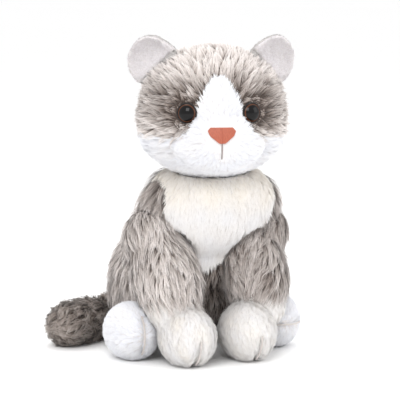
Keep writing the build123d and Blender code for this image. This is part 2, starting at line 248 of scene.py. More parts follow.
def grow_pile(name, cloth, panel, comb, tone, length, fibre, density, stand,
              lock=0.0042, gather=0.6, stray=0.16, steps=3, ruffle=1.0, seed=1):
    """The pile of one panel: tapered fibres in locks, rooted in the cloth and brushed the panel's way."""
    dice = np.random.default_rng(seed)
    own = cloth["area"] * (cloth["owner"] == panel)

    def scatter(count):
        face = dice.choice(len(own), count, p=own / own.sum())
        a, b = dice.random((2, count))
        over = a + b > 1
        a, b = np.where(over, 1 - a, a), np.where(over, 1 - b, b)
        share = np.stack([1 - a - b, a, b], 1)[:, :, None]
        return (cloth["corners"][face] * share).sum(1), unit((cloth["normals"][face] * share).sum(1))

    locks = max(12, int(own.sum() / lock ** 2))
    start, up = scatter(locks)
    reach = length(start) * dice.uniform(0.8, 1.18, locks)
    way = flat_on(comb(start), up)
    way = flat_on(way + np.cross(up, way) * dice.normal(0, stray * 1.4, (locks, 1)), up)
    bend = dice.normal(0, stray, (locks, 1))
    high = dice.uniform(0.7, 1.3, locks)
    feet, ups, rises = [start], [up], [np.zeros(locks)]
    spot = start
    for step in range(1, steps + 1):
        spot = spot + way * (reach / steps)[:, None]
        found = [cloth["tree"].find_nearest(p) for p in spot]
        spot = np.array([f[0] for f in found])
        up = unit(0.5 * up + np.array([f[1] for f in found]))
        feet.append(spot)
        ups.append(up)
        rises.append(reach * stand * high * (1 - (1 - step / steps) ** 2))
        way = flat_on(way + 0.35 * flat_on(comb(spot), up) + np.cross(up, way) * bend / steps, up)
    feet, ups, rises = np.array(feet), np.array(ups), np.array(rises)

    count = int(own.sum() * 10000 * density)
    root, _ = scatter(count)
    near = KDTree(locks)
    for i, p in enumerate(start):
        near.insert(p, i)
    near.balance()
    member = np.array([near.find(p)[1] for p in root])
    apart = root - start[member]
    portion = dice.uniform(0.5, 1.12, count)
    depth = dice.uniform(0.1, 1.25, count)
    sway = dice.normal(0, 1, (count, 3)) * stray * 0.28
    spine, above = [], []
    for step in range(steps + 1):
        share = step / steps
        t = share * portion * steps
        i = np.minimum(t.astype(int), steps - 1)
        f = (t - i)[:, None]
        foot = feet[i, member] * (1 - f) + feet[i + 1, member] * f
        lift = unit(ups[i, member] * (1 - f) + ups[i + 1, member] * f)
        rise = (rises[i, member] * (1 - f[:, 0]) + rises[i + 1, member] * f[:, 0]) * depth
        spot = foot + lift * rise[:, None] + apart * (1 - gather * share)
        spot += sway * (reach[member] * share ** 1.5)[:, None]
        spot[:, 2] = np.maximum(spot[:, 2], 0.0003)
        spine.append(spot)
        above.append(lift)
    spine, above = np.array(spine), np.array(above)
    along = np.gradient(spine, axis=0)
    twist = dice.normal(0, 0.35, (count, 1))
    tilt = (dice.normal(0, 0.22, (count, 3)) + dice.normal(0, 0.16, (locks, 3))[member]) * ruffle
    points = np.zeros((count, 2 * steps + 1, 3))
    shade = np.zeros((count, 2 * steps + 1, 3))
    map_u = np.zeros((count, 2 * steps + 1))
    map_v = np.zeros((count, 2 * steps + 1))
    pale = tone(root) + 0.15 * ruffle * dice.normal(0, 1, locks)[member]
    pale += 0.1 * ruffle * dice.normal(0, 1, count)
    pale = np.clip(pale, 0.02, 0.98)
    thick = fibre * dice.uniform(0.7, 1.25, count)
    for step in range(steps + 1):
        run = unit(along[step])
        side = unit(np.cross(above[step], run))
        side = unit(side + twist * np.cross(run, side))
        half = (0.5 * thick * (1 - (step / steps) ** 1.8))[:, None]
        facing = unit(above[step] + tilt)
        if step < steps:
            for k, sign in ((2 * step, -1), (2 * step + 1, 1)):
                points[:, k] = spine[step] + sign * side * half
                shade[:, k] = facing
                map_u[:, k] = pale + sign * 0.006
                map_v[:, k] = 0.01 + 0.98 * step / steps
        else:
            points[:, -1] = spine[step]
            shade[:, -1] = facing
            map_u[:, -1] = pale
            map_v[:, -1] = 0.99
    loops, sizes = [], []
    for step in range(steps - 1):
        loops += [2 * step + 1, 2 * step, 2 * step + 2, 2 * step + 3]
        sizes.append(4)
    loops += [2 * steps - 1, 2 * steps - 2, 2 * steps]
    sizes.append(3)
    loops = (np.array(loops)[None, :] + (2 * steps + 1) * np.arange(count)[:, None]).ravel()
    sizes = np.tile(sizes, count)
    mesh = bpy.data.meshes.new(name)
    mesh.vertices.add(count * (2 * steps + 1))
    mesh.vertices.foreach_set("co", points.astype(np.float32).ravel())
    mesh.loops.add(len(loops))
    mesh.loops.foreach_set("vertex_index", loops.astype(np.int32))
    mesh.polygons.add(len(sizes))
    mesh.polygons.foreach_set("loop_start", (np.cumsum(sizes) - sizes).astype(np.int32))
    mesh.polygons.foreach_set("use_smooth", np.ones(len(sizes), bool))
    mesh.update()
    mesh.validate()
    fibre_map = mesh.uv_layers.new(name="OFBake")
    place = np.stack([map_u.ravel()[loops], map_v.ravel()[loops]], 1)
    fibre_map.data.foreach_set("uv", place.astype(np.float32).ravel())
    mesh.normals_split_custom_set_from_vertices(shade.reshape(-1, 3).tolist())
    pile = bpy.data.objects.new(name, mesh)
    bpy.context.scene.collection.objects.link(pile)
    return pile


fibre_tint = bpy.data.node_groups.new("fibre_tint", "ShaderNodeTree")
for socket, kind in (
    ("Along", "Float"), ("Paleness", "Float"), ("Root", "Color"), ("Middle", "Color"), ("Tip", "Color"),
    ("Pale root", "Color"), ("Pale middle", "Color"), ("Pale tip", "Color"),
):
    fibre_tint.interface.new_socket(socket, in_out="INPUT", socket_type="NodeSocket" + kind)
fibre_tint.interface.new_socket("Colour", in_out="OUTPUT", socket_type="NodeSocketColor")
fibre_tint.interface.new_socket("Roughness", in_out="OUTPUT", socket_type="NodeSocketFloat")
inside = fibre_tint.nodes
given = inside.new("NodeGroupInput")
result = inside.new("NodeGroupOutput")


def mixed(share, first, second, tree=fibre_tint):
    """Two colours mixed by a share, as one more node of the tree."""
    mix = tree.nodes.new("ShaderNodeMix")
    mix.data_type = "RGBA"
    tree.links.new(share, mix.inputs["Factor"])
    tree.links.new(first, mix.inputs["A"])
    tree.links.new(second, mix.inputs["B"])
    return mix.outputs["Result"]


def ranged(value, low, high, to_low=0.0, to_high=1.0, tree=fibre_tint):
    """A value followed smoothly from one range to another."""
    step = tree.nodes.new("ShaderNodeMapRange")
    step.interpolation_type = "SMOOTHSTEP"
    for socket, amount in (("From Min", low), ("From Max", high), ("To Min", to_low), ("To Max", to_high)):
        step.inputs[socket].default_value = amount
    tree.links.new(value, step.inputs["Value"])
    return step.outputs["Result"]


lower = ranged(given.outputs["Along"], 0.0, 0.5)
upper = ranged(given.outputs["Along"], 0.4, 1.0)
plain = mixed(lower, given.outputs["Root"], given.outputs["Middle"])
plain = mixed(upper, plain, given.outputs["Tip"])
paler = mixed(lower, given.outputs["Pale root"], given.outputs["Pale middle"])
paler = mixed(upper, paler, given.outputs["Pale tip"])
fibre_tint.links.new(mixed(given.outputs["Paleness"], plain, paler), result.inputs["Colour"])
fibre_tint.links.new(ranged(given.outputs["Along"], 0.0, 1.0, 0.85, 0.6), result.inputs["Roughness"])


def pile_finish(name, plain, pale, sheen=0.25):
    """Acrylic pile: its dye at root, middle and tip, for the plainest and the palest fibres."""
    finish = bpy.data.materials.new(name)
    finish.use_nodes = True
    tree = finish.node_tree
    shader = tree.nodes["Principled BSDF"]
    fibre_map = tree.nodes.new("ShaderNodeUVMap")
    fibre_map.uv_map = "OFBake"
    parts = tree.nodes.new("ShaderNodeSeparateXYZ")
    tint = tree.nodes.new("ShaderNodeGroup")
    tint.node_tree = fibre_tint
    for socket, colour in zip(("Root", "Middle", "Tip"), plain):
        tint.inputs[socket].default_value = dye(*colour)
    for socket, colour in zip(("Pale root", "Pale middle", "Pale tip"), pale):
        tint.inputs[socket].default_value = dye(*colour)
    tree.links.new(fibre_map.outputs["UV"], parts.inputs["Vector"])
    tree.links.new(parts.outputs["X"], tint.inputs["Paleness"])
    tree.links.new(parts.outputs["Y"], tint.inputs["Along"])
    tree.links.new(tint.outputs["Colour"], shader.inputs["Base Color"])
    tree.links.new(tint.outputs["Roughness"], shader.inputs["Roughness"])
    shader.inputs["Specular IOR Level"].default_value = 0.25
    shader.inputs["Sheen Weight"].default_value = sheen
    shader.inputs["Sheen Roughness"].default_value = 0.5
    return finish


cloth_grain = bpy.data.node_groups.new("cloth_grain", "ShaderNodeTree")
for socket, kind in (
    ("Place", "Vector"), ("Thread", "Color"), ("Gap", "Color"), ("Threads per metre", "Float"),
):
    cloth_grain.interface.new_socket(socket, in_out="INPUT", socket_type="NodeSocket" + kind)
cloth_grain.interface.new_socket("Colour", in_out="OUTPUT", socket_type="NodeSocketColor")
cloth_grain.interface.new_socket("Height", in_out="OUTPUT", socket_type="NodeSocketFloat")
cloth_given = cloth_grain.nodes.new("NodeGroupInput")
cloth_result = cloth_grain.nodes.new("NodeGroupOutput")
cells = cloth_grain.nodes.new("ShaderNodeTexVoronoi")
patches = cloth_grain.nodes.new("ShaderNodeTexNoise")
patches.inputs["Scale"].default_value = 60
cloth_grain.links.new(cloth_given.outputs["Place"], cells.inputs["Vector"])
cloth_grain.links.new(cloth_given.outputs["Threads per metre"], cells.inputs["Scale"])
cloth_grain.links.new(cloth_given.outputs["Place"], patches.inputs["Vector"])
# The second colour is painted shade in the gaps where the relief sinks between loops; the noise also mixes it
# in at random in patches.
patches_and_gap_shade = cloth_grain.nodes.new("ShaderNodeMath")
patches_and_gap_shade.operation = "MULTIPLY_ADD"
patches_and_gap_shade.inputs[1].default_value = 0.35
cloth_grain.links.new(patches.outputs["Fac"], patches_and_gap_shade.inputs[0])
cloth_grain.links.new(ranged(cells.outputs["Distance"], 0.1, 0.7, tree=cloth_grain), patches_and_gap_shade.inputs[2])
cloth_grain.links.new(
    mixed(patches_and_gap_shade.outputs[0], cloth_given.outputs["Thread"], cloth_given.outputs["Gap"], tree=cloth_grain),
    cloth_result.inputs["Colour"])
cloth_grain.links.new(
    ranged(cells.outputs["Distance"], 0.0, 0.6, 1.0, 0.0, tree=cloth_grain), cloth_result.inputs["Height"])


def cloth_finish(name, thread, gap_shade, per_metre=1100, rough=0.9, relief=0.0002):
    """Knitted or woven cloth with its loops standing up a little, and painted shade in the gaps between them.
    """
    finish = bpy.data.materials.new(name)
    finish.use_nodes = True
    tree = finish.node_tree
    shader = tree.nodes["Principled BSDF"]
    place = tree.nodes.new("ShaderNodeTexCoord")
    grain = tree.nodes.new("ShaderNodeGroup")
    grain.node_tree = cloth_grain
    grain.inputs["Thread"].default_value = dye(*thread)
    grain.inputs["Gap"].default_value = dye(*gap_shade)
    grain.inputs["Threads per metre"].default_value = per_metre
    relief_node = tree.nodes.new("ShaderNodeBump")
    relief_node.inputs["Strength"].default_value = 0.6
    relief_node.inputs["Distance"].default_value = relief
    tree.links.new(place.outputs["Object"], grain.inputs["Place"])
    tree.links.new(grain.outputs["Colour"], shader.inputs["Base Color"])
    tree.links.new(grain.outputs["Height"], relief_node.inputs["Height"])
    tree.links.new(relief_node.outputs["Normal"], shader.inputs["Normal"])
    shader.inputs["Roughness"].default_value = rough
    shader.inputs["Specular IOR Level"].default_value = 0.2
    shader.inputs["Sheen Weight"].default_value = 0.2
    return finish


# The second colour of each backing is painted shade in the gaps between its loops.
grey_backing = cloth_finish("grey_backing", (96, 84, 78), (62, 52, 47))
white_backing = cloth_finish("white_backing", (240, 237, 236), (222, 218, 216))
dark_backing = cloth_finish("dark_backing", (74, 64, 58), (48, 40, 36))
grey_pile = pile_finish("grey_pile",
                        ((56, 45, 39), (122, 109, 101), (190, 178, 171)),
                        ((158, 146, 139), (226, 217, 212), (252, 247, 245)))
white_pile = pile_finish("white_pile",
                         ((226, 226, 232), (240, 241, 246), (248, 249, 252)),
                         ((232, 224, 212), (248, 242, 233), (252, 248, 243)), sheen=0.15)

torso_panels = ["flank_left", "flank_right", "chest_bib", "belly_panel", "seat_panel"]
bpy.ops.mesh.primitive_uv_sphere_add(
    segments=96, ring_count=48, radius=1, location=collar_middle, scale=collar_radii)
collar = bpy.context.object
bpy.ops.object.mode_set(mode="EDIT")
bpy.ops.mesh.bisect(
    plane_co=(0, 0, neck_seam - collar_overlap), plane_no=(0, 0, 1), use_fill=True, clear_inner=True)
bpy.ops.object.mode_set(mode="OBJECT")
torso_form = stuffed_form("torso_cushion", torso_panels + ["torso_stuffing"], torso_cell, more=[collar])
torso_points = points_of(torso_form)
fill_up = np.exp(-((torso_points[:, 2] - chin_fill_height) / chin_fill_spread) ** 2)
fill_up *= np.clip((chin_fill_back - torso_points[:, 1]) / 0.02, 0, 1)
torso_points[:, 1] -= chin_fill * fill_up
lowest = np.full(len(torso_points), 1.0)
apart = torso_points - neck_place
for (forward, rise), radii in skull_and_muzzle:
    wide, long, tall = np.array(radii) + collar_room
    inside_it = 1 - (apart @ head_side / wide) ** 2 - ((apart @ head_back_way + forward) / long) ** 2
    under_it = neck_place[2] + rise - tall * np.sqrt(np.clip(inside_it, 0, 1))
    lowest = np.where(inside_it > 0, np.minimum(lowest, under_it), lowest)
lowest = np.where(np.hypot(apart[:, 0], apart[:, 1]) < neck_plug_room, neck_seam, lowest)
torso_points[:, 2] = np.minimum(torso_points[:, 2], np.maximum(lowest, neck_seam))
move_points(torso_form, torso_points)
torso_cloth = cloth_of(torso_form, torso_panels, {
    "flank_left": grey_backing, "flank_right": grey_backing, "chest_bib": white_backing,
    "belly_panel": dark_backing, "seat_panel": dark_backing})
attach(torso_form, "torso")
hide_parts("torso_stuffing")
bib_low, bib_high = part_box("chest_bib")


def fall(points):
    """The way that the torso's pile is brushed: down, with slow swirls, and outwards over the shoulders."""
    way = np.zeros_like(points)
    way[:, 2] = -1.0
    way[:, 0] = 0.35 * drift(points, 0.07, 11)
    way[:, 0] += 4.0 * (points[:, 0] - 0.005) * np.clip((points[:, 2] - 0.08) / 0.05, 0, 1)
    way[:, 1] = 0.3 * drift(points, 0.06, 12)
    return way


def flank_tone_and_shade(points):
    """Darker and paler in patches, and darker low down between the legs, where the darkening is painted
    shade.
    """
    # Painted shade: the pile is darkened at the front, low down between the legs.
    dark = np.clip((0.05 - np.abs(points[:, 0])) / 0.03, 0, 1) * np.clip((-0.03 - points[:, 1]) / 0.03, 0, 1)
    return 0.64 + 0.18 * drift(points, 0.035, 13) - 0.5 * dark


for panel, seed in (("flank_left", 21), ("flank_right", 22)):
    flank = grow_pile(panel + "_plush", torso_cloth, panel, fall, flank_tone_and_shade,
                      lambda p: 0.017 + 0.008 * np.clip((p[:, 2] - 0.1) / 0.02, 0, 1),
                      grey_fibre, 85, 0.22, seed=seed)
    flank.data.materials.append(grey_pile)
    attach(flank, "torso")
    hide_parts(panel)

# Painted shade: the bib's pile turns creamier towards its top, under the chin; elsewhere it is creamier or
# cooler in random patches.
bib = grow_pile("chest_bib_plush", torso_cloth, "chest_bib", fall,
                lambda p: 0.45 + 0.45 * np.clip((p[:, 2] - 0.125) / 0.02, 0, 1) + 0.12 * drift(p, 0.03, 14),
                lambda p: np.full(len(p), 0.0065), white_fibre, 380, 0.24,
                lock=0.0026, gather=0.15, stray=0.1, steps=2, ruffle=0.15, seed=23)
bib.data.materials.append(white_pile)
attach(bib, "torso")
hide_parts("chest_bib")

for panel, seed, high in (("belly_panel", 24, 0.2), ("seat_panel", 25, 0.05)):
    under = grow_pile(panel + "_plush", torso_cloth, panel, fall, lambda p: 0.1 + 0.1 * drift(p, 0.03, 15),
                      lambda p: np.full(len(p), 0.012), grey_fibre, 45, high, seed=seed)
    under.data.materials.append(grey_pile)
    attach(under, "torso")
    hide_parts(panel)


# Neck. A plug of firm fibre in a grey plush cover, which turns in the chest and carries the head.
# The head's pile hides it except at the nape and when the head is turned or nodded far.
neck_form = stuffed_form("neck_plug", ["neck_stuffing"], 0.002, 3)
neck_cloth = cloth_of(neck_form, ["neck_stuffing"], {"neck_stuffing": grey_backing})
ruff = grow_pile("neck_plush", neck_cloth, "neck_stuffing", fall, flank_tone_and_shade,
                 lambda p: np.full(len(p), 0.012), grey_fibre, 70, 0.5, seed=29)
ruff.data.materials.append(grey_pile)
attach(ruff, "neck")
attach(neck_form, "neck")
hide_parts("neck_stuffing")


# Head. A round cushion with a broad muzzle: two grey brows that meet at the crown, a white blaze and
# muzzle of short pile, white cheeks of long pile, and a grey back. Everything is brushed away from the nose.
head_cell = 0.0022
cheek_fullness = 0.0055
crown_drop = 0.0035
eye_places = {side: np.array(sum(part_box("eye_dome_" + side), Vector()) / 2) for side in ("left", "right")}
nose_place = np.array(sum(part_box("nose_pad"), Vector()) / 2)
mouth_low, mouth_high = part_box("mouth_stitch")
bridge = eye_places["left"] * 0.5 + eye_places["right"] * 0.5
bridge = bridge - 0.014 * head_back_way - np.array((0, 0, 0.006))
head_panels = [
    "head_back", "face_blaze", "muzzle_panel", "brow_left", "brow_right", "cheek_left", "cheek_right"]
head_form = stuffed_form("head_cushion", head_panels + ["head_stuffing"], head_cell)
head_points = points_of(head_form)
side_way = (head_points - neck_place) @ head_side
up_way = head_points[:, 2] - neck_place[2]
cheek = np.exp(-((up_way - 0.034) / 0.022) ** 2) * np.clip((np.abs(side_way) - 0.018) / 0.03, 0, 1)
crown = np.clip((up_way - 0.105) / 0.02, 0, 1)
head_points += (cheek_fullness * cheek * np.sign(side_way))[:, None] * head_side
head_points[:, 2] -= crown_drop * crown
move_points(head_form, head_points)
head_cloth = cloth_of(head_form, head_panels, {
    "head_back": grey_backing, "brow_left": grey_backing, "brow_right": grey_backing,
    "face_blaze": white_backing, "muzzle_panel": white_backing,
    "cheek_left": white_backing, "cheek_right": white_backing})
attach(head_form, "head")
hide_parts("head_stuffing")


def head_parts(points):
    """Sideways, backwards and upwards from the middle of the neck, in the turned head's own directions."""
    apart = points - neck_place
    return apart @ head_side, apart @ head_back_way, apart[:, 2]


def from_bridge(points):
    """Brushed away from the bridge of the nose: up over the forehead, and out over the temples."""
    return points - bridge + 0.008 * drift(points, 0.04, 31)[:, None] * head_side


def from_nose(points):
    """Brushed away from the nose."""
    return points - nose_place + np.array((0, 0, 0.004))


def clear_of_face(points, length):
    """Pile clipped shorter the nearer it is to an eye, the nose or the mouth's thread."""
    for place, clear in ((eye_places["left"], 0.0078), (eye_places["right"], 0.0078), (nose_place, 0.0115)):
        length = np.minimum(length, np.maximum(np.linalg.norm(points - place, axis=1) - clear, 0.0008) * 1.1)
    height = np.clip(points[:, 2], mouth_low.z, mouth_high.z)
    middle = np.array((mouth_low + mouth_high) / 2)
    line = np.stack([np.full(len(points), middle[0]), np.full(len(points), middle[1]), height], 1)
    apart = (points - line) @ head_side
    near = (np.abs(points[:, 2] - height) < 0.002) & (np.linalg.norm(points - line, axis=1) < 0.012)
    return np.where(near, np.minimum(length, np.maximum(np.abs(apart) * 1.2, 0.0007)), length)


def brow_tone(points):
    """Nearly white at the crown and beside the blaze, dark round the eyes, and paler down the cheeks."""
    side, back, high = head_parts(points)
    tone = 0.45 + 0.2 * drift(points, 0.03, 32)
    tone += 0.9 * np.clip((high - 0.09) / 0.013, 0, 1)
    tone += 0.5 * np.exp(-((side + 0.018) / 0.008) ** 2) * np.clip((high - 0.08) / 0.01, 0, 1)
    tone += 0.6 * np.clip((0.064 - high) / 0.016, 0, 1)
    for place in eye_places.values():
        tone -= 0.75 * np.exp(-(np.linalg.norm(points - place, axis=1) / 0.017) ** 2)
    return tone


for panel, seed in (("brow_left", 41), ("brow_right", 42)):
    brow = grow_pile(panel + "_plush", head_cloth, panel, from_bridge, brow_tone,
                     lambda p: clear_of_face(p, np.full(len(p), 0.015)), grey_fibre, 90, 0.2, seed=seed)
    brow.data.materials.append(grey_pile)
    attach(brow, "head")
    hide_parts(panel)

nape = grow_pile("head_back_plush", head_cloth, "head_back", from_bridge,
                 lambda p: (0.55 + 0.16 * drift(p, 0.03, 33)
                            + 0.5 * np.clip((head_parts(p)[2] - 0.1) / 0.02, 0, 1)),
                 lambda p: np.full(len(p), 0.016), grey_fibre, 75, 0.2, seed=43)
nape.data.materials.append(grey_pile)
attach(nape, "head")
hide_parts("head_back")

for panel, way, long, high, seed, kind in (
    ("face_blaze", from_nose, 0.006, 0.25, 44, "white_short_plush"),
    ("muzzle_panel", from_nose, 0.006, 0.25, 45, "white_short_plush"),
    ("cheek_left", from_nose, 0.012, 0.22, 46, "white_long_plush"),
    ("cheek_right", from_nose, 0.012, 0.22, 47, "white_long_plush"),
):
    white = grow_pile(panel + "_plush", head_cloth, panel, way, lambda p: 0.12 + 0.1 * drift(p, 0.03, 34),
                      lambda p: clear_of_face(p, np.full(len(p), long)), white_fibre, 420, high,
                      lock=0.0024, gather=0.2, steps=2, ruffle=0.3, seed=seed)
    white.data.materials.append(white_pile)
    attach(white, "head")
    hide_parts(panel)


# Eyes. Two safety eyes: a polished clear dome over a painted amber ring and black pupil, on a black
# rim and post that go through the cloth, held by a pressed washer inside the head.
pupil = 0.0066
amber = 0.0077
paint_edge = 0.0003
eye_rings = bpy.data.node_groups.new("eye_rings", "ShaderNodeTree")
for socket in ("Place", "Middle", "Straight out"):
    eye_rings.interface.new_socket(socket, in_out="INPUT", socket_type="NodeSocketVector")
eye_rings.interface.new_socket("Distance", in_out="OUTPUT", socket_type="NodeSocketFloat")
eye_given = eye_rings.nodes.new("NodeGroupInput")
eye_result = eye_rings.nodes.new("NodeGroupOutput")
apart = eye_rings.nodes.new("ShaderNodeVectorMath")
apart.operation = "SUBTRACT"
eye_rings.links.new(eye_given.outputs["Place"], apart.inputs[0])
eye_rings.links.new(eye_given.outputs["Middle"], apart.inputs[1])
sideways = eye_rings.nodes.new("ShaderNodeVectorMath")
sideways.operation = "CROSS_PRODUCT"
eye_rings.links.new(apart.outputs["Vector"], sideways.inputs[0])
eye_rings.links.new(eye_given.outputs["Straight out"], sideways.inputs[1])
away = eye_rings.nodes.new("ShaderNodeVectorMath")
away.operation = "LENGTH"
eye_rings.links.new(sideways.outputs["Vector"], away.inputs[0])
eye_rings.links.new(away.outputs["Value"], eye_result.inputs["Distance"])

black_plastic = bpy.data.materials.new("black_plastic")
black_plastic.use_nodes = True
black_shader = black_plastic.node_tree.nodes["Principled BSDF"]
black_shader.inputs["Base Color"].default_value = dye(22, 16, 14)
black_mottle = black_plastic.node_tree.nodes.new("ShaderNodeTexNoise")
black_mottle.inputs["Scale"].default_value = 900
black_plastic.node_tree.links.new(
    ranged(black_mottle.outputs["Fac"], 0.3, 0.7, 0.18, 0.34, tree=black_plastic.node_tree),
    black_shader.inputs["Roughness"])
black_where = black_plastic.node_tree.nodes.new("ShaderNodeTexCoord")
black_plastic.node_tree.links.new(black_where.outputs["Object"], black_mottle.inputs["Vector"])

for side in ("left", "right"):
    dome = frame["nodes"]["eye_dome_" + side]
    post_low, post_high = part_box("eye_post_" + side)
    glass = bpy.data.materials.new("eye_glass_" + side)
    glass.use_nodes = True
    tree = glass.node_tree
    shader = tree.nodes["Principled BSDF"]
    where = tree.nodes.new("ShaderNodeTexCoord")
    rings = tree.nodes.new("ShaderNodeGroup")
    rings.node_tree = eye_rings
    middle = eye_places[side]
    outward = unit((middle - np.array((post_low + post_high) / 2))[None])[0]
    rings.inputs["Middle"].default_value = tuple(middle)
    rings.inputs["Straight out"].default_value = tuple(outward)
    paint = tree.nodes.new("ShaderNodeValToRGB")
    for place, colour in (
        (pupil - paint_edge, (8, 7, 8)), (pupil, (44, 24, 15)), (pupil + 0.0005, (92, 54, 33)),
        (amber - paint_edge, (70, 40, 25)), (amber, (20, 12, 10)),
    ):
        stop = paint.color_ramp.elements.new(place * 100)
        stop.color = dye(*colour)
    paint.color_ramp.elements[0].color = dye(8, 7, 8)
    paint.color_ramp.elements[-1].color = dye(30, 18, 14)
    scaled = tree.nodes.new("ShaderNodeMath")
    scaled.operation = "MULTIPLY"
    scaled.inputs[1].default_value = 100
    tree.links.new(where.outputs["Object"], rings.inputs["Place"])
    tree.links.new(rings.outputs["Distance"], scaled.inputs[0])
    tree.links.new(scaled.outputs[0], paint.inputs["Fac"])
    tree.links.new(paint.outputs["Color"], shader.inputs["Base Color"])
    shader.inputs["Roughness"].default_value = 0.25
    shader.inputs["Specular IOR Level"].default_value = 0.0
    shader.inputs["Coat Weight"].default_value = 0.5
    shader.inputs["Coat Roughness"].default_value = 0.02
    dome.data.materials.clear()
    dome.data.materials.append(glass)
    post = frame["nodes"]["eye_post_" + side]
    post.data.materials.clear()
    post.data.materials.append(black_plastic)


# Nose and mouth. The nose is a small three-cornered pad worked in satin stitch with terracotta thread,
# and the mouth is one grey thread pulled down from it into the muzzle.
thread_width = 0.0009
nose_form = stuffed_form("nose_satin", ["nose_pad"], 0.00035, 4)
nose_points = points_of(nose_form)
nose_sides = (nose_points - nose_place) @ head_side
nose_normals = np.zeros(len(nose_points) * 3)
nose_form.data.vertex_normals.foreach_get("vector", nose_normals)
nose_normals = nose_normals.reshape(-1, 3)
front = np.clip(-(nose_normals @ head_back_way), 0, 1)[:, None]
ridge = np.abs(np.cos(math.pi * nose_sides / thread_width))[:, None] - 0.5
groove = np.exp(-(nose_sides / 0.0006) ** 2)[:, None]
move_points(nose_form, nose_points + nose_normals * front * (0.00022 * ridge - 0.0007 * groove))
nose_thread = bpy.data.materials.new("nose_thread")
nose_thread.use_nodes = True
tree = nose_thread.node_tree
shader = tree.nodes["Principled BSDF"]
where = tree.nodes.new("ShaderNodeTexCoord")
turned = tree.nodes.new("ShaderNodeMapping")
turned.inputs["Location"].default_value = tuple(-Vector(nose_place))
strands = tree.nodes.new("ShaderNodeTexNoise")
strands.inputs["Scale"].default_value = 500
stretch = tree.nodes.new("ShaderNodeVectorMath")
stretch.operation = "MULTIPLY"
stretch.inputs[1].default_value = (3, 3, 0.15)
mix = tree.nodes.new("ShaderNodeMix")
mix.data_type = "RGBA"
mix.inputs["A"].default_value = dye(138, 62, 42)
mix.inputs["B"].default_value = dye(188, 100, 72)
strand_relief = tree.nodes.new("ShaderNodeBump")
strand_relief.inputs["Strength"].default_value = 0.5
strand_relief.inputs["Distance"].default_value = 0.0002
tree.links.new(where.outputs["Object"], turned.inputs["Vector"])
tree.links.new(turned.outputs["Vector"], stretch.inputs[0])
tree.links.new(stretch.outputs["Vector"], strands.inputs["Vector"])
tree.links.new(strands.outputs["Fac"], mix.inputs["Factor"])
tree.links.new(mix.outputs["Result"], shader.inputs["Base Color"])
tree.links.new(strands.outputs["Fac"], strand_relief.inputs["Height"])
tree.links.new(strand_relief.outputs["Normal"], shader.inputs["Normal"])
shader.inputs["Roughness"].default_value = 0.5
shader.inputs["Sheen Weight"].default_value = 0.3
nose_form.data.materials.append(nose_thread)
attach(nose_form, "head")
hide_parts("nose_pad")

# The second colour of each thread is painted shade in the gaps between its strands.
line_thread = cloth_finish("line_thread", (176, 166, 164), (140, 130, 128), per_metre=3000, relief=0.0001)
pale_thread = cloth_finish("pale_thread", (222, 216, 212), (196, 188, 184), per_metre=3000, relief=0.0001)
mouth = frame["nodes"]["mouth_stitch"]
mouth.data.materials.clear()
mouth.data.materials.append(line_thread)


# Ears. Each is a short pale grey back sewn to a white lining, turned right side out, cupped towards
# the front, widened at its low side and let into the seam over the temple on a slant.
ear_cell = 0.0011
ear_hollow = 0.0045
ear_sink = 0.003
ear_fibre = 0.00034
ear_grey = pile_finish("ear_grey",
                       ((168, 163, 160), (196, 192, 190), (214, 211, 209)),
                       ((196, 192, 190), (216, 213, 212), (232, 230, 229)), sheen=0.15)
ear_white = pile_finish("ear_white",
                        ((204, 196, 197), (226, 221, 223), (240, 238, 241)),
                        ((220, 213, 213), (236, 232, 233), (246, 244, 246)), sheen=0.15)
for side, seed in (("left", 51), ("right", 53)):
    ear_panels = ["ear_back_" + side, "ear_lining_" + side]
    ear_form = stuffed_form("ear_" + side + "_cushion", ear_panels, ear_cell, 4)
    ear_root = np.array(joints["ear_fold_" + side]["pos_m"])
    points = points_of(ear_form)
    ear_up = unit((points.mean(0) - ear_root)[None])
    lining_low, lining_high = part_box(ear_panels[1])
    back_low, back_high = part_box(ear_panels[0])
    ear_out = np.array(lining_low + lining_high) - np.array(back_low + back_high)
    ear_out = unit(ear_out[None] * np.array((1, 1, 0)))
    ear_across = unit(np.cross(ear_up, ear_out))
    ear_facing = np.cross(ear_across, ear_up)
    apart = points - ear_root
    along, beside = apart @ ear_up[0], apart @ ear_across[0]
    hollow = np.clip(along / 0.012, 0, 1)
    hollow *= np.clip(1 - (beside / 0.020) ** 2 - ((along - 0.017) / 0.017) ** 2, 0, 1)
    points -= ear_hollow * hollow[:, None] * ear_facing
    low_side = np.clip(-beside * np.sign(ear_across[0][2]) / 0.02, 0, 1)
    points += (0.22 * beside * low_side)[:, None] * ear_across
    points -= (0.10 * along)[:, None] * ear_up
    points += (0.0015 * np.clip(np.abs(beside) / 0.02, 0, 1) ** 2)[:, None] * ear_facing
    points -= ear_sink * ear_up
    ear_cloth = cloth_of(
        ear_form, ear_panels, {ear_panels[0]: white_backing, ear_panels[1]: white_backing}, drawn=points)
    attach(ear_form, "ear_" + side)
    for panel, finish, kind, shift in (
        (ear_panels[0], ear_grey, "ear_grey_plush", 0), (ear_panels[1], ear_white, "white_short_plush", 1),
    ):
        ear = grow_pile(panel + "_plush", ear_cloth, panel, lambda p: np.repeat(ear_up, len(p), 0),
                        lambda p: 0.25 + 0.15 * drift(p, 0.02, 35), lambda p: np.full(len(p), 0.0024),
                        ear_fibre, 520, 0.3,
                        lock=0.0018, gather=0.2, steps=2, ruffle=0.4, seed=seed + shift)
        ear.data.materials.append(finish)
        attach(ear, "ear_" + side)
        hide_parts(panel)
